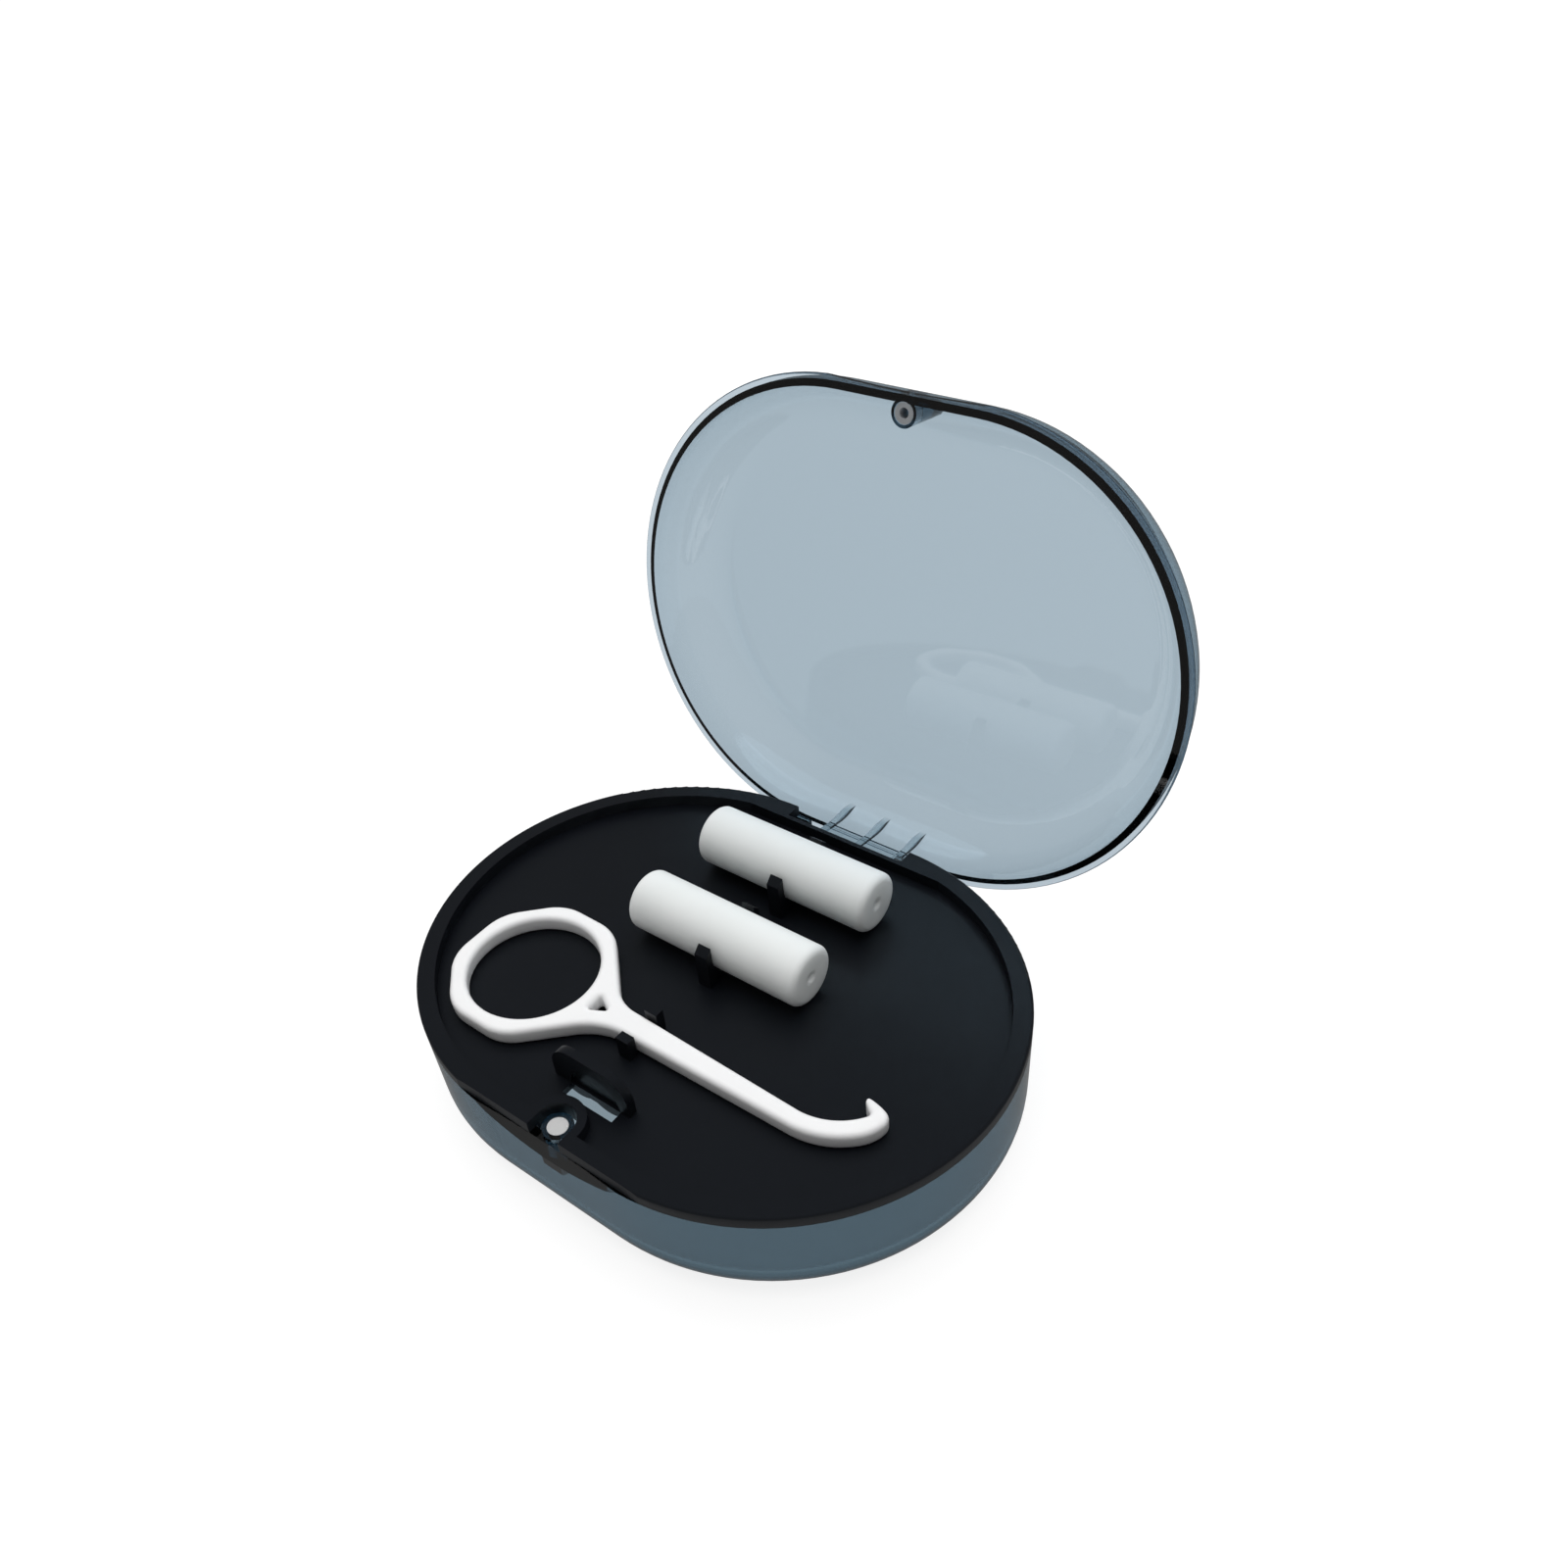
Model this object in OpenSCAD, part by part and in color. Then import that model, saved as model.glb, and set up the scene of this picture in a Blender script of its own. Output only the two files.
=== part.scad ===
// Flat oval case with a smoky see-through base and lid, a black tray, two white rollers and a white hook.
// X runs left to right, Y front to back and Z up. The origin is the centre of the base's underside.
// The lid stands open at lid_angle. Everything on it is drawn closed and then turned about the hinge.

/* [Case] */
// Length of the closed case, left to right
case_l = 95; // [92:0.5:104]
// Depth of the closed case, front to back
case_d = 73.2; // [71:0.2:77]
// Height of the tray's rim above the underside
base_h = 19; // [17:0.5:26]
// Height of the lid from its rim to its back
lid_h = 10.9; // [10.3:0.1:16]
// Wall of the base
wall = 1.8; // [1.5:0.1:2.1]
// Wall of the lid
lid_wall = 1; // [0.8:0.05:1.2]
// Rounding between the base's side and its underside
base_round = 6; // [4:0.5:8]
// Rounding between the lid's side and its back
lid_round = 9; // [7:0.5:9.5]
// Gap between the closed lid and the tray's rim
lid_gap = 0.3; // [0.2:0.05:0.6]
// How far the lid stands open from closed
lid_angle = 100; // [90:1:100]

/* [Rim] */
// Width of the flange round the outside of the lid's rim
flange_w = 0.85; // [0.7:0.05:1]
// Thickness of the flange
flange_t = 0.5; // [0.4:0.05:0.8]
// How far the thumb scoop reaches down the front wall
scoop_drop = 3.35; // [2:0.05:5]
// Depth of the thumb scoop at the rim
scoop_cut = 0.5; // [0.3:0.05:0.8]
// Radius of the scoop's curve seen from above
scoop_r = 210; // [160:10:300]

/* [Hinge] */
// Distance of the hinge axis in from the back of the case
hinge_in = 1.43; // [1.2:0.01:1.7]
// Distance of the hinge axis below the tray's rim
hinge_drop = 4.8; // [4.6:0.05:5.2]
// Width of the lid's tongue and barrel
tongue_w = 16; // [12:0.5:17]
// Width of each knuckle on the base
knuckle_w = 4; // [3:0.25:5]
// Radius of the barrel and the knuckles
barrel_r = 1.8; // [1.6:0.05:1.85]
// Radius of the two hinge pins
pin_r = 0.75; // [0.5:0.05:0.9]
// Length of each pin
pin_l = 7.5; // [6:0.25:8.5]
// Radial clearance of a pin in the lid's barrel
pin_clear = 0.05; // [0.02:0.01:0.1]
// Gap between the tongue and what stands beside and under it
tongue_gap = 0.4; // [0.3:0.05:0.6]
// Thickness of each of the three ribs on the tongue
rib_t = 1.1; // [0.8:0.1:1.5]
// Distance between the ribs
rib_pitch = 7; // [5:0.25:7]
// Height of the ribs above the lid's back wall
rib_h = 1.2; // [0.8:0.1:1.4]
// Length over which each rib rises to its full height from the rim
rib_slope = 3.5; // [2.5:0.25:4]

/* [Magnets] */
// Diameter of both magnets
magnet_d = 3; // [2:0.1:3.2]
// Thickness of both magnets
magnet_t = 2; // [1:0.1:3]
// Hole in the lid's ring magnet
magnet_hole = 1.4; // [0.8:0.1:1.6]
// Distance of the magnets in from the front of the case
magnet_in = 3.2; // [3:0.1:3.8]
// Wall round the magnet in the base's boss
magnet_wall = 0.75; // [0.6:0.05:0.9]
// Wall round the magnet in the lid's post
post_wall = 0.45; // [0.4:0.05:0.7]
// Gap round a magnet in its pocket
magnet_gap = 0.05; // [0.02:0.01:0.1]
// Height of the base's boss above its wall
boss_rise = 0.6; // [0.2:0.1:1]
// Whole height of that boss, which hangs on the front wall
boss_h = 6.8; // [6.4:0.2:8]

/* [Tray] */
// Thickness of the tray's border, which is also the depth of the step to its floor
border_t = 2; // [1.5:0.1:2.5]
// Width of the border
border_w = 2.8; // [2.4:0.1:3.2]
// Rounding of the border's outer top edge
border_round = 0.4; // [0.2:0.05:0.6]
// Thickness of the tray's floor
floor_t = 1.2; // [1:0.05:1.3]
// Gap between the tray's pan and the base's wall
pan_gap = 0.3; // [0.2:0.05:0.6]
// Distance of the floor's straight back edge in from the back of the case
back_in = 3.6; // [3.5:0.05:4.2]
// Thickness of the thin wall behind that edge
back_wall = 0.75; // [0.6:0.05:0.8]
// Half the width of the gap between the tray's two ears
ear_x = 10.9; // [10:0.1:12]
// Gap between the magnet's boss and the tray's notch
notch_gap = 0.6; // [0.4:0.05:0.9]
// Width of the raised border round the notch
notch_border = 1.35; // [1:0.05:1.6]

/* [Finger tab] */
// Width of the arched tab
tab_w = 14; // [11:0.5:15]
// Height of the tab above the tray's floor
tab_h = 6.6; // [5:0.1:8]
// Radius of the tab's two upper corners
tab_corner = 4.2; // [2:0.1:5]
// Thickness of the tab
tab_t = 1.4; // [1:0.1:2]
// Distance of the slot and the fingertip hollow to the right of the middle
tab_x = 0.65; // [-3:0.05:3]
// Distance of the tab's front face behind the magnets
tab_back = 6.8; // [6.6:0.1:9]
// Length of the slot in front of the tab
slot_l = 9.3; // [6:0.1:11]
// Width of the slot
slot_w = 1.9; // [1.2:0.1:2]

/* [Rollers] */
// Diameter of a roller
roller_d = 9.5; // [8.5:0.1:10.2]
// Length of a roller
roller_l = 31; // [26:0.2:36]
// Rounding of a roller's ends
roller_round = 1; // [0.5:0.1:1.5]
// Distance of the front roller's axis behind the middle of the case
front_roller_y = 4; // [3:0.1:5]
// Distance between the two rollers' axes
roller_pitch = 17.3; // [16.5:0.1:18]
// How far the rear roller lies to the left of the front one
rear_roller_shift = 0.5; // [0:0.1:2]
// Gap between a roller and the tray
roller_gap = 0.3; // [0.2:0.05:0.5]
// Width of each prong along its roller
prong_w = 2.2; // [1.6:0.1:4]
// Distance of the prongs to the right of the middle
prong_x = 0.3; // [-2:0.1:2]
// Thickness of each prong
prong_t = 1.2; // [0.8:0.1:1.6]
// Height of the prongs above the roller's axis
prong_rise = 2.4; // [1:0.1:3]

/* [Hook tool] */
// Thickness of the tool
tool_t = 3; // [2:0.1:3.5]
// Radius of the finger hole
ring_hole_r = 10.1; // [8:0.1:10.5]
// Width of the ring between its hole and its flats
ring_band = 2.5; // [2:0.1:2.7]
// Distance of the finger hole's centre to the left of the middle
ring_x = 22.1; // [21:0.1:22.5]
// Distance of the finger hole's centre in front of the middle
ring_y = 15.1; // [14.6:0.1:15.4]
// Distance from the finger hole's centre to where the stem starts to curve
stem_l = 48.2; // [44:0.1:49]
// Width of the stem at the ring
stem_w = 4.1; // [3.4:0.1:4.6]
// Width of the stem where it starts to curve
stem_end_w = 2.9; // [2.2:0.1:3.2]
// Inner radius of the hook's curve
hook_r = 9.7; // [8:0.1:10.5]
// How far the hook curves round
hook_angle = 61; // [50:1:66]
// Angle of the tool on the tray, clockwise seen from above
tool_turn = 0.6; // [0:0.1:1.5]
// Distance of the clip prongs to the left of the middle
clip_x = 0.5; // [0:0.1:2]
// Gap between the stem and each clip prong
clip_gap = 0.3; // [0.2:0.05:0.5]
// Height of the clip prongs above the tool
clip_rise = 0.8; // [0.3:0.1:1.2]

/* [Hidden] */
$fn = 64;
// Overshoot of a cut past the face that it opens
eps = 0.5;
end_r = case_d / 2;
straight = case_l - case_d;
wall_top = base_h - border_t;
floor_bottom = wall_top - floor_t;
rim_z = base_h + lid_gap;
lid_top = rim_z + lid_h;
lid_side_r = end_r - flange_w;
lid_inner_y = lid_side_r - lid_wall;
hinge_y = end_r - hinge_in;
hinge_z = base_h - hinge_drop;
barrel_end = tongue_w / 2;
knuckle_start = barrel_end + tongue_gap;
knuckle_end = knuckle_start + knuckle_w;
pin_end = knuckle_end - 0.2;
magnet_y = magnet_in - end_r;
boss_r = magnet_d / 2 + magnet_gap + magnet_wall;
boss_top = wall_top + boss_rise;
post_r = magnet_d / 2 + magnet_gap + post_wall;
post_end = rim_z + 0.2;
notch_r = boss_r + notch_gap;
back_y = end_r - back_in;
tab_y = magnet_y + tab_back;
roller_r = roller_d / 2;
roller_z = wall_top + roller_gap + roller_r;
rear_roller_y = front_roller_y + roller_pitch;
hook_mid = hook_r + stem_end_w / 2;
// The neck joins the ring to the stem between these distances from the finger hole's centre
neck_start = ring_hole_r + 0.4;
neck_end = ring_hole_r + 9.5;
smoke = [0.55, 0.65, 0.72, 0.5];
black = [0.05, 0.05, 0.06];
white = [0.95, 0.95, 0.95];
steel = [0.75, 0.76, 0.78];

// Oval outline of the case, drawn in by inset
module oval(inset) {
    for (side = [-1, 1])
        translate([side * straight / 2, 0])
            circle(r = end_r - inset);
    square([straight, 2 * (end_r - inset)], center = true);
}

module oval_slab(inset, z_low, z_high) {
    translate([0, 0, z_low])
        linear_extrude(z_high - z_low)
            oval(inset);
}

// Carries a half section round the oval: X is the distance from the middle line and Y is the height
module oval_sweep() {
    for (side = [-1, 1])
        translate([side * straight / 2, 0, 0])
            rotate([0, 0, -90 * side])
                rotate_extrude(angle = 180)
                    children();
    for (turn = [0, 180])
        rotate([0, 0, turn])
            rotate([90, 0, 90])
                translate([0, 0, -straight / 2])
                    linear_extrude(straight)
                        children();
}

// Half section of a solid dish with a rounded lower corner
module dish_half(r, h, round_r) {
    square([r - round_r, h]);
    translate([0, round_r])
        square([r, h - round_r]);
    translate([r - round_r, round_r])
        intersection() {
            circle(r = round_r);
            translate([0, -round_r])
                square(round_r);
        }
}

// Half section of a cup with an even wall, whose outer corner is rounded
module cup_half(r, h, thick, round_r) {
    difference() {
        dish_half(r, h, round_r);
        translate([-eps, thick])
            square([eps, h]);
        translate([0, thick])
            dish_half(r - thick, h, round_r - thick);
    }
}

// Half section of the flange round the lid's rim, with a rounded edge
module flange_half() {
    edge = flange_t / 2;
    translate([lid_side_r - lid_wall / 2, lid_h - flange_t])
        square([flange_w + lid_wall / 2 - edge, flange_t]);
    translate([end_r - edge, lid_h - edge])
        circle(r = edge);
}

// Solid dish whose skin runs through the middle of a shell's wall, to cut off what is built inside the shell
module shell_core(r, h, thick, round_r) {
    translate([0, 0, thick / 2])
        oval_sweep()
            dish_half(r - thick / 2, h, round_r - thick / 2);
}

// Wide shallow cut that slopes into the front wall, from z_edge on its face to the rim
module thumb_scoop(z_edge, up) {
    slope = atan(scoop_cut / scoop_drop);
    translate([0, -end_r, z_edge])
        rotate([-up * slope, 0, 0])
            translate([0, -scoop_r, up > 0 ? 0 : -2 * scoop_drop])
                cylinder(r = scoop_r, h = 2 * scoop_drop, $fn = 200);
}

module along_x(x_low, x_high) {
    translate([x_low, 0, 0])
        rotate([90, 0, 90])
            linear_extrude(x_high - x_low)
                children();
}

// Turns what is drawn closed to where the lid stands open
module opened() {
    translate([0, hinge_y, hinge_z])
        rotate([-lid_angle, 0, 0])
            translate([0, -hinge_y, -hinge_z])
                children();
}

module hinge_round(x_low, x_high, r) {
    along_x(x_low, x_high)
        translate([hinge_y, hinge_z])
            circle(r = r);
}

module base_shell() {
    color(smoke)
        difference() {
            union() {
                difference() {
                    oval_sweep()
                        cup_half(end_r, wall_top, wall, base_round);
                    thumb_scoop(wall_top - scoop_drop, 1);
                    hinge_window();
                }
                for (side = [-1, 1])
                    hinge_round(side > 0 ? knuckle_start : -knuckle_end,
                                side > 0 ? knuckle_end : -knuckle_start, barrel_r);
                magnet_boss(boss_r, boss_top, boss_top - boss_h)
                    shell_core(end_r, boss_top, wall, base_round);
            }
            translate([0, magnet_y, boss_top - magnet_t])
                cylinder(r = magnet_d / 2 + magnet_gap, h = magnet_t + eps);
            hinge_round(-knuckle_end - eps, knuckle_end + eps, pin_r + pin_clear / 2);
            for (side = [-1, 1])
                pin_way(side);
        }
}

// Notch inside the back wall at a knuckle's outer end, where its pin is pushed home
module pin_way(side) {
    half = pin_r + pin_clear / 2;
    translate([side > 0 ? knuckle_end : -knuckle_end - 2 * half, hinge_y - barrel_r - eps, hinge_z - half])
        cube([2 * half, barrel_r + eps, 2 * half]);
}

// Round boss on the inside of a shell's front wall, cut off by the shell's core
module magnet_boss(r, top, low = 0) {
    intersection() {
        translate([0, magnet_y, low])
            cylinder(r = r, h = top - low);
        children();
    }
}

// Window in the base's back wall for the lid's tongue, open at the top
module hinge_window() {
    window_z = hinge_z - barrel_r - tongue_gap;
    translate([-knuckle_start, end_r - wall - eps, window_z])
        cube([2 * knuckle_start, wall + 2 * eps, wall_top]);
}

module lid_shell() {
    color(smoke)
        opened()
            difference() {
                union() {
                    difference() {
                        from_lid_back() {
                            oval_sweep()
                                cup_half(lid_side_r, lid_h, lid_wall, lid_round);
                            oval_sweep()
                                flange_half();
                        }
                        thumb_scoop(rim_z + scoop_drop, -1);
                    }
                    lid_tongue();
                    lid_ribs();
                    from_lid_back()
                        magnet_boss(post_r, lid_top - post_end)
                            lid_core();
                }
                translate([0, magnet_y, post_end - eps])
                    cylinder(r = magnet_d / 2 + magnet_gap, h = magnet_t + eps);
                for (side = [-1, 1])
                    hinge_round(side > 0 ? barrel_end - pin_reach() : -barrel_end - eps,
                                side > 0 ? barrel_end + eps : pin_reach() - barrel_end, pin_r + pin_clear);
            }
}

// How deep each pin's hole runs into the barrel
function pin_reach() = barrel_end - (pin_end - pin_l) + 0.3;

// Places what is drawn upwards from the lid's back, which lies down when the lid is closed
module from_lid_back() {
    translate([0, 0, lid_top])
        mirror([0, 0, 1])
            children();
}

module lid_core() {
    shell_core(lid_side_r, lid_h, lid_wall, lid_round);
}

// Tongue that carries the lid's back wall down to the barrel
module lid_tongue() {
    gusset = 0.5;
    hinge_round(-barrel_end, barrel_end, barrel_r);
    translate([-barrel_end, lid_inner_y, hinge_z])
        cube([tongue_w, end_r - flange_t / 2 - lid_inner_y, rim_z + flange_t + gusset - hinge_z]);
}

// Three ribs that run up the tongue and the inside of the lid's back wall
module lid_ribs() {
    rib_low = hinge_z + barrel_r;
    rib_high = lid_top - lid_round + 4.3;
    for (place = [-1, 0, 1])
        translate([place * rib_pitch - rib_t / 2, 0, 0]) {
            translate([0, lid_inner_y - 0.5, rib_low])
                cube([rib_t, 1, rim_z - rib_low + 0.5]);
            intersection() {
                rotate([90, 0, 90])
                    linear_extrude(rib_t)
                        polygon([
                            [lid_inner_y + lid_wall, rim_z + 0.1],
                            [lid_inner_y - 0.5, rim_z + 0.1],
                            [lid_inner_y - rib_h, rim_z + 0.1 + rib_slope],
                            [lid_inner_y - rib_h, rib_high + 0.1],
                            [lid_inner_y + lid_wall, rib_high + 0.1]
                        ]);
                translate([rib_t / 2 - place * rib_pitch, 0, 0])
                    from_lid_back()
                        lid_core();
            }
        }
}

module inner_tray() {
    color(black)
        difference() {
            union() {
                tray_border();
                oval_slab(wall + pan_gap, floor_bottom, wall_top);
                translate([0, magnet_y, wall_top])
                    cylinder(r = notch_r + notch_border, h = border_t);
                finger_tab();
                roller_prongs(front_roller_y);
                roller_prongs(rear_roller_y);
                clip_prongs();
            }
            tray_front_cuts();
            tray_back_cuts();
        }
}

// Raised border that rests on the base's wall, with a straight edge across the back
module tray_border() {
    difference() {
        translate([0, 0, base_h])
            mirror([0, 0, 1])
                oval_sweep()
                    dish_half(end_r, border_t, border_round);
        translate([0, 0, wall_top])
            linear_extrude(border_t + eps)
                intersection() {
                    oval(border_w);
                    translate([-case_l / 2, -case_d])
                        square([case_l, case_d + back_y]);
                }
    }
}

module tray_front_cuts() {
    cut_h = border_t + floor_t + 2 * eps;
    translate([0, magnet_y, floor_bottom - eps]) {
        cylinder(r = notch_r, h = cut_h);
        translate([-notch_r, -case_d / 2, 0])
            cube([2 * notch_r, case_d / 2, cut_h]);
    }
    translate([-case_l / 2, -end_r - 2 * eps, floor_bottom - eps])
        cube([case_l, 2 * eps + scoop_cut, cut_h]);
    translate([tab_x - slot_l / 2, tab_y - slot_w, floor_bottom - eps])
        cube([slot_l, slot_w, floor_t + 2 * eps]);
}

// Room for the lid's tongue between the ears, and for the base's knuckles under them
module tray_back_cuts() {
    knuckle_room = knuckle_end + tongue_gap;
    back_face = back_y + back_wall;
    translate([-ear_x, back_face, floor_bottom - eps])
        cube([2 * ear_x, case_d / 2, border_t + floor_t + 2 * eps]);
    translate([-knuckle_room, back_face, floor_bottom - eps])
        cube([2 * knuckle_room, case_d / 2, floor_t + eps]);
}

// Arched tab to lift the tray by, with a half-round hollow behind the slot for a fingertip
module finger_tab() {
    hollow = 0.5;
    translate([0, tab_y + tab_t, wall_top])
        rotate([90, 0, 0])
            difference() {
                linear_extrude(tab_t)
                    tab_outline();
                translate([tab_x, 0, tab_t - hollow])
                    linear_extrude(tab_t)
                        difference() {
                            circle(r = slot_l / 2);
                            translate([-slot_l, -slot_l])
                                square([2 * slot_l, slot_l]);
                        }
            }
}

// Arch from inside the tray's floor to the tab's top
module tab_outline() {
    shoulder = tab_w / 2 - tab_corner;
    translate([-tab_w / 2, -floor_t / 2])
        square([tab_w, tab_h - tab_corner + floor_t / 2]);
    translate([-shoulder, 0])
        square([2 * shoulder, tab_h]);
    for (side = [-1, 1])
        translate([side * shoulder, tab_h - tab_corner])
            circle(r = tab_corner);
}

// Two prongs that cradle a roller below its axis and stand clear of it above, so that it lifts straight out.
// Their tops slope down and away from the roller.
module roller_prongs(axis_y) {
    clear_r = roller_r + roller_gap;
    foot = 1.6;
    low = wall_top - floor_t / 2 - roller_z;
    for (side = [-1, 1])
        translate([0, axis_y, roller_z])
            mirror([0, side > 0 ? 0 : 1, 0])
                along_x(prong_x - prong_w / 2, prong_x + prong_w / 2)
                    difference() {
                        polygon([[clear_r - foot, low], [clear_r + prong_t, low],
                                 [clear_r + prong_t, prong_rise - prong_t], [clear_r, prong_rise],
                                 [clear_r, 0], [clear_r - foot, 0]]);
                        circle(r = clear_r);
                    }
}

// Two prongs beside the tool's stem
module clip_prongs() {
    clip_w = 2.2;
    clip_t = 1.5;
    at_tool()
        for (side = [-1, 1])
            translate([ring_x - clip_x - clip_w / 2,
                       side > 0 ? stem_half(ring_x - clip_x) + clip_gap
                                : -stem_half(ring_x - clip_x) - clip_gap - clip_t,
                       -floor_t / 2])
                cube([clip_w, clip_t, floor_t / 2 + tool_t + clip_rise]);
}

// Half the stem's width at a distance from the finger hole's centre
function stem_half(x) =
    (stem_w + (stem_end_w - stem_w) * max(0, x - neck_end) / (stem_l - neck_end)) / 2;

module at_tool() {
    translate([-ring_x, -ring_y, wall_top])
        rotate([0, 0, -tool_turn])
            children();
}

module removal_tool() {
    color(white)
        at_tool()
            difference() {
                union() {
                    linear_extrude(tool_t)
                        tool_ring();
                    linear_extrude(tool_t)
                        tool_neck();
                    linear_extrude(tool_t)
                        tool_stem();
                    linear_extrude(tool_t)
                        tool_hook();
                }
                translate([0, 0, -eps])
                    linear_extrude(tool_t + 2 * eps) {
                        circle(r = ring_hole_r);
                        neck_hole();
                    }
            }
}

// Ring with eight flats and rounded corners
module tool_ring() {
    flat_r = ring_hole_r + ring_band;
    intersection() {
        circle(r = flat_r + 0.45);
        rotate(22.5)
            circle(r = flat_r / cos(22.5), $fn = 8);
    }
}

// Web that narrows from the ring to the stem
module tool_neck() {
    half = stem_w / 2;
    polygon([[neck_start - 1.5, 7.9], [neck_start + 2.1, 4.6], [neck_end - 4, half + 0.4], [neck_end, half],
             [neck_end, -half], [neck_end - 4, -half - 0.4], [neck_start + 2.1, -4.6], [neck_start - 1.5, -7.9]]);
}

module neck_hole() {
    polygon([[neck_start + 1.9, 1.6], [neck_start + 5, 0.1], [neck_start + 1.9, -1.6]]);
}

module tool_stem() {
    polygon([[neck_end - eps, stem_w / 2], [stem_l, stem_end_w / 2], [stem_l + eps, stem_end_w / 2],
             [stem_l + eps, -stem_end_w / 2], [stem_l, -stem_end_w / 2], [neck_end - eps, -stem_w / 2]]);
}

// Curve at the end of the stem, with a short point that turns back
module tool_hook() {
    reach = 2 * hook_mid;
    translate([stem_l, hook_mid]) {
        difference() {
            circle(r = hook_r + stem_end_w);
            circle(r = hook_r);
            translate([-reach, -reach])
                square([reach, 2 * reach]);
            rotate(hook_angle - 90)
                translate([-reach, 0])
                    square([2 * reach, reach]);
        }
        rotate(hook_angle - 90)
            polygon([[hook_r, -0.2], [hook_r + stem_end_w, -0.2], [hook_r + stem_end_w - 0.5, 1.2],
                     [hook_r + 1.1, 1.9], [hook_r - 1.3, 1.1], [hook_r - 1.7, 0.3]]);
    }
}

module roller(axis_x, axis_y) {
    dimple_r = 0.7;
    dimple = 0.8;
    translate([axis_x, axis_y, roller_z])
        rotate([0, 90, 0])
            difference() {
                rotate_extrude()
                    for (end = [0, 1])
                        mirror([0, end])
                            translate([0, -roller_l / 2])
                                dish_half(roller_r, roller_l / 2, roller_round);
                for (end = [-1, 1])
                    translate([0, 0, end * (roller_l / 2)])
                        cylinder(r = dimple_r, h = 2 * dimple, center = true);
            }
}

module front_chewie() {
    color(white)
        roller(0, front_roller_y);
}

module rear_chewie() {
    color(white)
        roller(-rear_roller_shift, rear_roller_y);
}

module hinge_pin(side) {
    color(steel)
        hinge_round(side > 0 ? pin_end - pin_l : -pin_end, side > 0 ? pin_end : pin_l - pin_end, pin_r);
}

module hinge_pin_left() {
    hinge_pin(-1);
}

module hinge_pin_right() {
    hinge_pin(1);
}

module base_magnet() {
    color(steel)
        translate([0, magnet_y, boss_top - magnet_t])
            cylinder(r = magnet_d / 2, h = magnet_t);
}

module lid_magnet() {
    color(steel)
        opened()
            translate([0, magnet_y, post_end])
                difference() {
                    cylinder(r = magnet_d / 2, h = magnet_t);
                    translate([0, 0, -eps])
                        cylinder(r = magnet_hole / 2, h = magnet_t + 2 * eps);
                }
}

base_shell();
lid_shell();
inner_tray();
hinge_pin_left();
hinge_pin_right();
base_magnet();
lid_magnet();
front_chewie();
rear_chewie();
removal_tool();
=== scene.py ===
import math

import bpy
from mathutils import Matrix, Vector
from mathutils.geometry import tessellate_polygon


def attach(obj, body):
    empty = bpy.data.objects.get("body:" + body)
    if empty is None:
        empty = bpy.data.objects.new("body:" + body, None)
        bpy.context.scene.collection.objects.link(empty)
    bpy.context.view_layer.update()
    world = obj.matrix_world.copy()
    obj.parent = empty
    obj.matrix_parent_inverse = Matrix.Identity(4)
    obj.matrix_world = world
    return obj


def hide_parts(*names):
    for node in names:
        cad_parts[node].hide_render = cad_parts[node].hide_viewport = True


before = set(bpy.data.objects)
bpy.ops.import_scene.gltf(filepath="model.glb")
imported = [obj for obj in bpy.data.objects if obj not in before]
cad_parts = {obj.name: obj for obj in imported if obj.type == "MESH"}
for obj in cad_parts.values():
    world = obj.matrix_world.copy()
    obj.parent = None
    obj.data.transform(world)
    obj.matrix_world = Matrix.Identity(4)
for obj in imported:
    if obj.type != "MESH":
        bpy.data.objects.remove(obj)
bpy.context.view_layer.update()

MM = 0.001

# The photograph's camera, fitted to the outlines of the base, the tray and the lid. Its place and
# aim are in millimetres, its roll in degrees, its focal length and principal point in pixels.
CAMERA_PLACE = (93.99, -92.12, 155.90)
CAMERA_AIM = (-4.87, 7.82, 20.0)
CAMERA_ROLL = -8.57
FOCAL_LENGTH = 1318.01
PRINCIPAL_POINT = (732.86, 936.58)
PHOTO_SIDE = 1600
SENSOR_WIDTH = 36.0

# The studio: a sky that is dim where it is mirrored, a broad lamp overhead and a lit floor.
DIM_SKY = 0.2
LAMP_ENERGY = 2.7
LAMP_SPREAD = 70
LAMP_DIRECTION = (0.12, -0.22, -1)
FLOOR_GLOW = 0.84
MIRRORED_FLOOR_GLOW = 0.22
FLOOR_REACH = 6.0
FLOOR_DROP = 0.00002

# The smoky plastic: the tint that each face carries, and how fast its depth absorbs light.
BASE_TINT, BASE_DENSITY = (0.75, 0.78, 0.81), 490.0
LID_TINT, LID_DENSITY = (0.62, 0.68, 0.735), 480.0
DEPTH_COLOUR = (0.0, 0.215, 0.31, 1.0)
SHADOW_SHARE = 0.95

# Rounding of the CAD pieces' edges, in metres, where faces meet at more than EDGE_ANGLE degrees.
TRAY_EDGE, BASE_MAGNET_EDGE, LID_MAGNET_EDGE = 0.00025, 0.00015, 0.00012
EDGE_ANGLE = 32
WELD_GAP = 0.000005

# A bite roller, in millimetres. DIMPLE gives how far its end is sunk, and at what radius.
ROLLER_RADIUS, ROLLER_HALF, ROLLER_RIM = 4.75, 15.5, 1.1
ROLLER_SIDES = 96
DIMPLE = ((0.85, 0.0), (0.8, 0.45), (0.35, 0.62), (0.13, 0.8), (0.12, 1.4), (0.06, 2.6), (0.0, 3.5))
FRONT_ROLLER_CENTRE = (0, 4, 22.05)
REAR_ROLLER_CENTRE = (-0.5, 21.3, 22.05)

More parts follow.
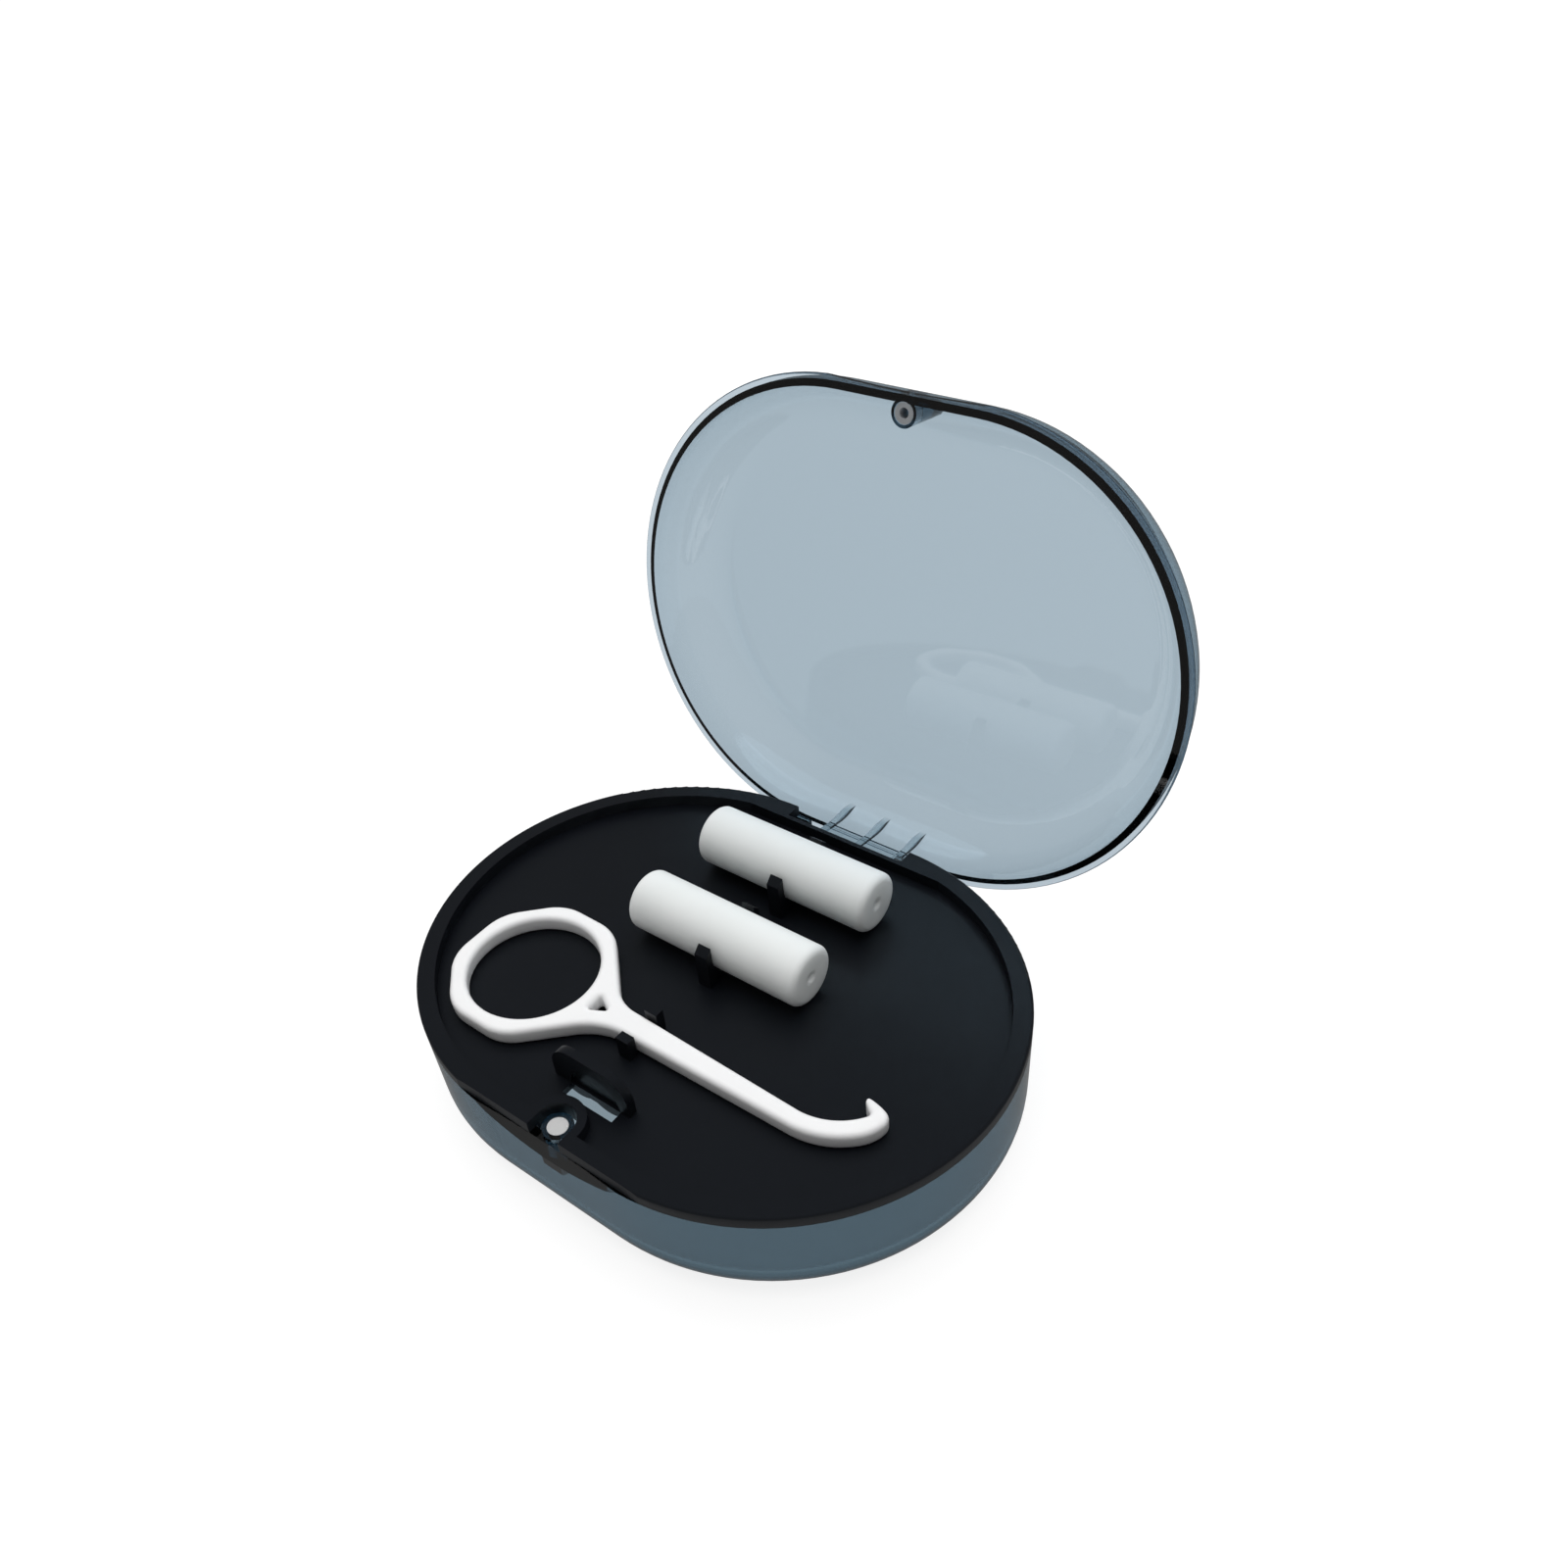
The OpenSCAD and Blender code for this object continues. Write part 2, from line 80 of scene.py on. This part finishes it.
# The removal hook, in millimetres from the middle of its finger hole, with its stem along X. A
# corner's third number is the radius that rounds it.
HOOK_PLACE, HOOK_TURN = (-22.1, -15.1, 17.0), -0.6
HOOK_THICKNESS, HOOK_EDGE = 3.0, 0.85
HOLE_RADIUS = 10.1
RING_FLAT, RING_ROUNDING = 12.6, 7.5
RING_CORNERS = (67.5, 112.5, 157.5, 202.5, 247.5, 292.5)
NECK_FRONT, NECK_BACK = (15.9, -2.15, 11.0), (15.9, 2.15, 7.0)
WINDOW = [(12.5, -1.55, 0.35), (15.4, 0.0, 0.3), (12.5, 1.55, 0.35)]
BEND_CENTRE, BEND_OUTSIDE, BEND_INSIDE = (48.2, 11.15), 12.6, 9.7
CLAW = [(57.35, 2.45), (58.1, 3.4), (58.7, 4.6), (59.0, 5.85), (58.85, 6.8), (58.35, 7.45),
        (57.4, 7.85), (56.3, 8.05), (55.3, 8.12), (54.8, 7.95), (54.78, 7.4), (55.2, 7.0),
        (55.8, 6.55), (56.35, 6.2)]


class Value:
    """A shader socket that Python's operators work on. Each operator adds its Math node."""

    def __init__(self, finish, socket):
        self.finish, self.socket = finish, socket

    def _math(self, operation, *values):
        return self.finish.node("ShaderNodeMath", {"operation": operation}, *values)

    def __add__(self, other):
        return self._math("ADD", self, other)

    def __sub__(self, other):
        return self._math("SUBTRACT", self, other)

    def __rsub__(self, other):
        return self._math("SUBTRACT", other, self)

    def __mul__(self, other):
        return self._math("MULTIPLY", self, other)

    def __lt__(self, other):
        return self._math("LESS_THAN", self, other)

    __radd__ = __add__
    __rmul__ = __mul__


class Finish:
    """The nodes of a material or of the world, all made by node()."""

    def __init__(self, owner):
        owner.use_nodes = True
        self.owner, self.tree = owner, owner.node_tree
        self.tree.nodes.clear()

    def node(self, kind, settings=None, *values, output=0, **named):
        """Makes a node. Its values go to its sockets in order, and the named ones by name, with _
        for a space. None leaves a socket as it is."""
        made = self.tree.nodes.new(kind)
        for key, value in (settings or {}).items():
            setattr(made, key, value)
        pairs = list(enumerate(values))
        pairs += [(name.replace("_", " "), value) for name, value in named.items()]
        for key, value in pairs:
            if isinstance(value, Value):
                self.tree.links.new(value.socket, made.inputs[key])
            elif value is not None:
                made.inputs[key].default_value = value
        return Value(self, made.outputs[output]) if made.outputs else made

    def noise(self, scale, detail):
        place = self.node("ShaderNodeTexCoord", output="Object")
        return self.node("ShaderNodeTexNoise", Vector=place, Scale=scale, Detail=detail)

    def bump(self, height, distance, strength):
        return self.node("ShaderNodeBump", Height=height, Distance=distance, Strength=strength)

    def mix(self, share, low, high):
        """Blends two colours by a share from 0 to 1. Mix has five other sockets before them."""
        rest = [None] * 5
        return self.node("ShaderNodeMix", {"data_type": "RGBA"}, share, *rest, low, high, output=2)

    def ray(self, fact):
        return self.node("ShaderNodeLightPath", output=fact)

    def done(self, surface, volume=None):
        self.node("ShaderNodeOutputMaterial", Surface=surface, Volume=volume)
        return self.owner


def smoky_plastic(name, tint, density):
    """Clear smoky blue-grey plastic. Its faces carry part of the tint, and the rest deepens with
    the thickness that light crosses."""
    f = Finish(bpy.data.materials.new(name))
    smudges = f.noise(35.0, 3.0)
    gloss = f.node("ShaderNodeBsdfPrincipled", Base_Color=tint + (1.0,),
                   Roughness=smudges * 0.03 + 0.012, IOR=1.5, Transmission_Weight=1.0)
    lit = tuple(SHADOW_SHARE * math.sqrt(c) for c in tint)
    clear = f.node("ShaderNodeBsdfTransparent", Color=lit + (1.0,))
    surface = f.node("ShaderNodeMixShader", None, f.ray("Is Shadow Ray"), gloss, clear)
    depth = f.node("ShaderNodeVolumeAbsorption", Color=DEPTH_COLOUR, Density=density)
    return f.done(surface, depth)


def black_plastic():
    """Black plastic with a fine matt grain and a faint blue sheen."""
    f = Finish(bpy.data.materials.new("black_plastic"))
    grain = f.noise(2600.0, 2.0)
    cloud = f.noise(28.0, 2.0)
    tone = f.mix(cloud, (0.0035, 0.0042, 0.0062, 1), (0.0055, 0.0064, 0.0088, 1))
    return f.done(f.node("ShaderNodeBsdfPrincipled", Base_Color=tone,
                         Roughness=cloud * 0.08 + grain * 0.05 + 0.32,
                         Specular_IOR_Level=0.35, Specular_Tint=(0.85, 0.94, 1.0, 1),
                         Normal=f.bump(grain, 0.00002, 0.25)))


def white_plastic():
    """The hook's satin white plastic, which glows a little at its edges."""
    f = Finish(bpy.data.materials.new("white_plastic"))
    grain = f.noise(1500.0, 2.0)
    cloud = f.noise(60.0, 2.0)
    tone = f.mix(cloud, (0.89, 0.89, 0.895, 1), (0.93, 0.93, 0.93, 1))
    return f.done(f.node("ShaderNodeBsdfPrincipled", Base_Color=tone, Roughness=cloud * 0.08 + 0.3,
                         Subsurface_Weight=0.2, Subsurface_Scale=0.0015,
                         Subsurface_Radius=(1.0, 1.0, 1.0),
                         Normal=f.bump(grain, 0.00002, 0.15)))


def roller_foam():
    """The rollers' soft white material, a little greyer than the hook."""
    f = Finish(bpy.data.materials.new("roller_foam"))
    grain = f.noise(900.0, 3.0)
    cloud = f.noise(90.0, 3.0)
    tone = f.mix(cloud, (0.81, 0.835, 0.825, 1), (0.87, 0.89, 0.88, 1))
    return f.done(f.node("ShaderNodeBsdfPrincipled", Base_Color=tone, Roughness=cloud * 0.1 + 0.38,
                         Subsurface_Weight=0.35, Subsurface_Scale=0.003,
                         Subsurface_Radius=(1.0, 1.0, 1.0),
                         Normal=f.bump(grain, 0.00003, 0.2)))


def bright_metal(name, tone, rough, metallic=1.0):
    """Plated or drawn metal, with fine wear that darkens and dulls it."""
    f = Finish(bpy.data.materials.new(name))
    wear = f.noise(700.0, 3.0)
    worn = tuple(0.86 * c for c in tone)
    return f.done(f.node("ShaderNodeBsdfPrincipled",
                         Base_Color=f.mix(wear, tone + (1,), worn + (1,)),
                         Metallic=metallic, Roughness=wear * 0.12 + rough))


def floor_card():
    """A white light table, dimmer where it is mirrored, so that glossy pieces keep dark edges."""
    f = Finish(bpy.data.materials.new("floor_card"))
    cloud = f.noise(3.0, 2.0)
    tone = f.mix(cloud, (0.24, 0.24, 0.24, 1), (0.26, 0.26, 0.26, 1))
    card = f.node("ShaderNodeBsdfPrincipled", Base_Color=tone, Roughness=0.8,
                  Specular_IOR_Level=0.1, Emission_Color=(1, 1, 1, 1), Emission_Strength=FLOOR_GLOW)
    mirrored = f.node("ShaderNodeEmission", Color=(1, 1, 1, 1), Strength=MIRRORED_FLOOR_GLOW)
    in_mirror = f.ray("Is Glossy Ray") * (1.0 - f.ray("Is Transmission Ray"))
    return f.done(f.node("ShaderNodeMixShader", None, in_mirror, card, mirrored))


def add_to_scene(name, data):
    made = bpy.data.objects.new(name, data)
    bpy.context.scene.collection.objects.link(made)
    return made


def photo_camera():
    """The photograph's camera. The lens shift puts the principal point where the fit has it."""
    place = Vector(CAMERA_PLACE) * MM
    aim = Vector(CAMERA_AIM) * MM
    roll = math.radians(CAMERA_ROLL)
    ahead = (aim - place).normalized()
    level = ahead.cross(Vector((0, 0, 1))).normalized()
    above = level.cross(ahead)
    right = level * math.cos(roll) + above * math.sin(roll)
    up = above * math.cos(roll) - level * math.sin(roll)
    lens = bpy.data.cameras.new("photo_camera")
    lens.sensor_width = SENSOR_WIDTH
    lens.lens = FOCAL_LENGTH / PHOTO_SIDE * SENSOR_WIDTH
    lens.shift_x = (PHOTO_SIDE / 2 - PRINCIPAL_POINT[0]) / PHOTO_SIDE
    lens.shift_y = (PRINCIPAL_POINT[1] - PHOTO_SIDE / 2) / PHOTO_SIDE
    lens.clip_start = 0.01
    lens.clip_end = 20.0
    camera = add_to_scene("photo_camera", lens)
    turn = Matrix((right, up, -ahead)).transposed().to_4x4()
    camera.matrix_world = Matrix.Translation(place) @ turn
    bpy.context.scene.camera = camera


def studio_sky():
    """A sky that is white where the camera sees it, also through clear plastic, and dim where it
    lights the pieces or is mirrored in them."""
    world = bpy.data.worlds.new("studio")
    bpy.context.scene.world = world
    f = Finish(world)
    unmirrored = f.ray("Glossy Depth") < 0.5
    seen = f.ray("Is Camera Ray") + f.ray("Is Transmission Ray") * unmirrored
    sky = f.node("ShaderNodeBackground", Color=(1, 1, 1, 1),
                 Strength=seen * (1.0 - DIM_SKY) + DIM_SKY)
    f.node("ShaderNodeOutputWorld", Surface=sky)


def overhead_lamp():
    """A broad soft lamp above, which no glossy piece mirrors."""
    sun = bpy.data.lights.new("overhead_light", "SUN")
    sun.energy = LAMP_ENERGY
    sun.angle = math.radians(LAMP_SPREAD)
    lamp = add_to_scene("overhead_light", sun)
    lamp.rotation_euler = Vector(LAMP_DIRECTION).to_track_quat("-Z", "Y").to_euler()
    lamp.visible_glossy = False


def studio_floor():
    """The floor, a hair below the case, so that the two never share a surface."""
    corners = [(-FLOOR_REACH, -FLOOR_REACH, 0), (FLOOR_REACH, -FLOOR_REACH, 0),
               (FLOOR_REACH, FLOOR_REACH, 0), (-FLOOR_REACH, FLOOR_REACH, 0)]
    mesh = bpy.data.meshes.new("floor")
    mesh.from_pydata(corners, [], [(0, 1, 2, 3)])
    mesh.materials.append(floor_card())
    floor = add_to_scene("floor", mesh)
    floor.location.z = -FLOOR_DROP


def dress(node, material, edge=0.0):
    """Gives a CAD node its material, and rounds its edges a little where edge is set."""
    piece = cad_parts[node]
    piece.data.materials.clear()
    piece.data.materials.append(material)
    if edge:
        weld = piece.modifiers.new("weld", "WELD")
        weld.merge_threshold = WELD_GAP
        bevel = piece.modifiers.new("edge", "BEVEL")
        bevel.width = edge
        bevel.segments = 2
        bevel.limit_method = "ANGLE"
        bevel.angle_limit = math.radians(EDGE_ANGLE)
        bevel.harden_normals = True


def fit(piece, node, material):
    """Puts a piece in a CAD node's place, on the node's body."""
    piece.data.materials.append(material)
    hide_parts(node)
    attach(piece, node)


def new_piece(name, points, faces):
    """A smooth-shaded mesh piece from points in metres."""
    mesh = bpy.data.meshes.new(name)
    mesh.from_pydata(points, [], faces)
    mesh.validate()
    mesh.polygons.foreach_set("use_smooth", [True] * len(mesh.polygons))
    return add_to_scene(name, mesh)


def arc(centre, radius, start, end, count):
    """Points on an arc, between two angles in degrees."""
    step = (end - start) / count
    return [(centre[0] + radius * math.cos(math.radians(start + k * step)),
             centre[1] + radius * math.sin(math.radians(start + k * step)))
            for k in range(count + 1)]


def softened(points, rounds):
    """An open line whose corners are cut off again and again, so that it ends up smooth."""
    for _ in range(rounds):
        cut = [points[0]]
        for (ax, ay), (bx, by) in zip(points, points[1:]):
            cut += [(0.75 * ax + 0.25 * bx, 0.75 * ay + 0.25 * by),
                    (0.25 * ax + 0.75 * bx, 0.25 * ay + 0.75 * by)]
        points = cut + [points[-1]]
    return points


def filleted(corners, spacing=0.35):
    """A closed outline through corners (x, y, radius), each rounded by its radius. Points are
    about spacing apart in the rounded corners, and up to twice that on the straights."""
    path = []
    for k, (x, y, radius) in enumerate(corners):
        corner = Vector((x, y))
        before = (Vector(corners[k - 1][:2]) - corner).normalized()
        after = (Vector(corners[(k + 1) % len(corners)][:2]) - corner).normalized()
        if radius == 0:
            path.append(corner)
            continue
        half = before.angle(after) / 2
        reach = radius / math.tan(half)
        middle = corner + (before + after).normalized() * radius / math.sin(half)
        first, last = corner + before * reach - middle, corner + after * reach - middle
        sweep = first.angle_signed(last)
        count = max(2, int(abs(sweep) * radius / spacing) + 1)
        for step in range(count + 1):
            turn = -sweep * step / count
            path.append(middle + Vector((first.x * math.cos(turn) - first.y * math.sin(turn),
                                         first.x * math.sin(turn) + first.y * math.cos(turn))))
    shortest = 1e-4
    dense = []
    for k, point in enumerate(path):
        ahead = path[(k + 1) % len(path)] - point
        if ahead.length < shortest:
            continue
        pieces = max(1, round(ahead.length / (2 * spacing)))
        dense += [point + ahead * n / pieces for n in range(pieces)]
    return dense


def inward_normals(loop):
    """Unit normals to the left of the way round a closed outline."""
    result = []
    for k in range(len(loop)):
        onward = (loop[(k + 1) % len(loop)] - loop[k]).normalized()
        along = onward + (loop[k] - loop[k - 1]).normalized()
        result.append(Vector((-along.y, along.x)).normalized())
    return result


def room_inside(loops, normals, most):
    """How far each point can move inward before it meets the outline's other side, up to most.
    Points behind it or further off than four times most don't count, and a fifth is kept free."""
    behind, far, used = 0.05, 16 * most * most, 0.8
    every = [point for loop in loops for point in loop]
    result = []
    for loop, sides in zip(loops, normals):
        room = []
        for point, side in zip(loop, sides):
            least = most
            for other in every:
                gap = other - point
                depth = gap.dot(side)
                if depth > behind and gap.length_squared < far:
                    least = min(least, gap.length_squared / (2 * depth) * used)
            room.append(least)
        for _ in range(4):
            room = [min(room[k], (room[k - 1] + room[k] + room[(k + 1) % len(room)]) / 3)
                    for k in range(len(room))]
        result.append(room)
    return result


def edge_rings(steps=5, beyond=1.08):
    """The rings that round a plate's edges, from its underside to its top. Each has its share of
    the room inside, its share of the drop from the plate's face, and whether it is above."""
    levels = [(1 - math.cos(math.pi / 2 * k / steps), 1 - math.sin(math.pi / 2 * k / steps))
              for k in range(steps + 1)]
    levels.append((beyond, 0.0))
    below = [(share, drop, False) for share, drop in reversed(levels)]
    return below + [(share, drop, True) for share, drop in levels]


def rounded_plate(name, loops, thick, edge, place):
    """A flat plate whose outline and holes have rounded edges above and below. The first loop goes
    round anticlockwise and the holes clockwise, in millimetres, and place turns them into the
    shared frame."""
    normals = [inward_normals(loop) for loop in loops]
    rooms = room_inside(loops, normals, edge)
    rings = edge_rings()
    points, faces, starts = [], [], []
    for loop, sides, room in zip(loops, normals, rooms):
        starts.append(len(points))
        for share, drop, upper in rings:
            for point, side, reach in zip(loop, sides, room):
                flat = point + side * reach * share
                height = thick - drop * reach if upper else drop * reach
                points.append(place @ Vector((flat.x * MM, flat.y * MM, height * MM)))
        count = len(loop)
        for ring in range(len(rings) - 1):
            row = starts[-1] + ring * count
            for k in range(count):
                a, b = row + k, row + (k + 1) % count
                faces.append((a, b, b + count, a + count))
    for upper in (False, True):
        ring = len(rings) - 1 if upper else 0
        index = [start + ring * len(loop) + k
                 for start, loop in zip(starts, loops) for k in range(len(loop))]
        share = rings[ring][0]
        flats = [[Vector((*(point + side * reach * share), 0))
                  for point, side, reach in zip(loop, sides, room)]
                 for loop, sides, room in zip(loops, normals, rooms)]
        for corners in tessellate_polygon(flats):
            a, b, c = (index[k] for k in corners)
            rises = (points[b] - points[a]).cross(points[c] - points[a]).z > 0
            faces.append((a, b, c) if rises == upper else (a, c, b))
    return new_piece(name, points, faces)


def hook_outline():
    """The hook seen from above: its ring's eight-sided outside, its stem, bend and claw."""
    outer = arc(BEND_CENTRE, BEND_OUTSIDE, -90, -48, 26)
    inner = arc(BEND_CENTRE, BEND_INSIDE, -34, -90, 28)
    claw = softened([outer[-1], *CLAW, inner[0]], 2)
    stem = [(x, y, 0) for x, y in outer[:-1] + claw[:-1] + inner]
    reach = RING_FLAT / math.cos(math.radians(22.5))
    ring = [(reach * math.cos(math.radians(a)), reach * math.sin(math.radians(a)), RING_ROUNDING)
            for a in RING_CORNERS]
    return filleted([NECK_FRONT] + stem + [NECK_BACK] + ring)


def removal_hook(material):
    hole = [Vector(p) for p in arc((0, 0), HOLE_RADIUS, 0, 360, 120)[:-1]]
    window = filleted(WINDOW, 0.15)
    loops = [hook_outline(), hole[::-1], window[::-1]]
    turn = Matrix.Rotation(math.radians(HOOK_TURN), 4, "Z")
    place = Matrix.Translation(Vector(HOOK_PLACE) * MM) @ turn
    hook = rounded_plate("removal_hook", loops, HOOK_THICKNESS, HOOK_EDGE, place)
    fit(hook, "removal_tool", material)


def bite_roller(name, node, centre, material):
    """A soft roller on its side, with rounded rims and ends that sink to a small dimple."""
    across, along = ROLLER_RADIUS - ROLLER_RIM, ROLLER_HALF - ROLLER_RIM
    section = [(ROLLER_HALF - sunk, radius) for sunk, radius in DIMPLE]
    section += [(along + ROLLER_RIM * math.cos(math.radians(a)),
                 across + ROLLER_RIM * math.sin(math.radians(a))) for a in range(10, 91, 10)]
    section += [(ROLLER_HALF * share, ROLLER_RADIUS) for share in (0.8, 0.6, 0.4, 0.2, 0.0)]
    section += [(-x, radius) for x, radius in reversed(section[:-1])]
    points = [Vector((section[0][0], 0, 0))]
    for x, radius in section[1:-1]:
        for k in range(ROLLER_SIDES):
            turn = 2 * math.pi * k / ROLLER_SIDES
            points.append(Vector((x, radius * math.cos(turn), radius * math.sin(turn))))
    points.append(Vector((section[-1][0], 0, 0)))
    points = [(point + Vector(centre)) * MM for point in points]
    rows, faces = len(section) - 2, []
    last_row = 1 + (rows - 1) * ROLLER_SIDES
    for k in range(ROLLER_SIDES):
        n = (k + 1) % ROLLER_SIDES
        faces.append((0, 1 + k, 1 + n))
        for row in range(rows - 1):
            a, b = 1 + row * ROLLER_SIDES + k, 1 + row * ROLLER_SIDES + n
            faces.append((a, a + ROLLER_SIDES, b + ROLLER_SIDES, b))
        faces.append((len(points) - 1, last_row + n, last_row + k))
    fit(new_piece(name, points, faces), node, material)


photo_camera()
studio_sky()
overhead_lamp()
studio_floor()
bpy.context.scene.view_settings.view_transform = "Standard"

dress("base_shell", smoky_plastic("smoky_plastic", BASE_TINT, BASE_DENSITY))
dress("lid_shell", smoky_plastic("smoky_plastic_lid", LID_TINT, LID_DENSITY))
dress("inner_tray", black_plastic(), TRAY_EDGE)
dress("base_magnet", bright_metal("magnet_nickel", (0.72, 0.72, 0.72), 0.2, 0.3), BASE_MAGNET_EDGE)
dress("lid_magnet", bright_metal("ring_magnet_nickel", (0.5, 0.52, 0.54), 0.25, 0.5),
      LID_MAGNET_EDGE)
steel = bright_metal("pin_steel", (0.62, 0.62, 0.64), 0.25)
dress("hinge_pin_left", steel)
dress("hinge_pin_right", steel)

foam = roller_foam()
bite_roller("front_bite_roller", "front_chewie", FRONT_ROLLER_CENTRE, foam)
bite_roller("rear_bite_roller", "rear_chewie", REAR_ROLLER_CENTRE, foam)
removal_hook(white_plastic())
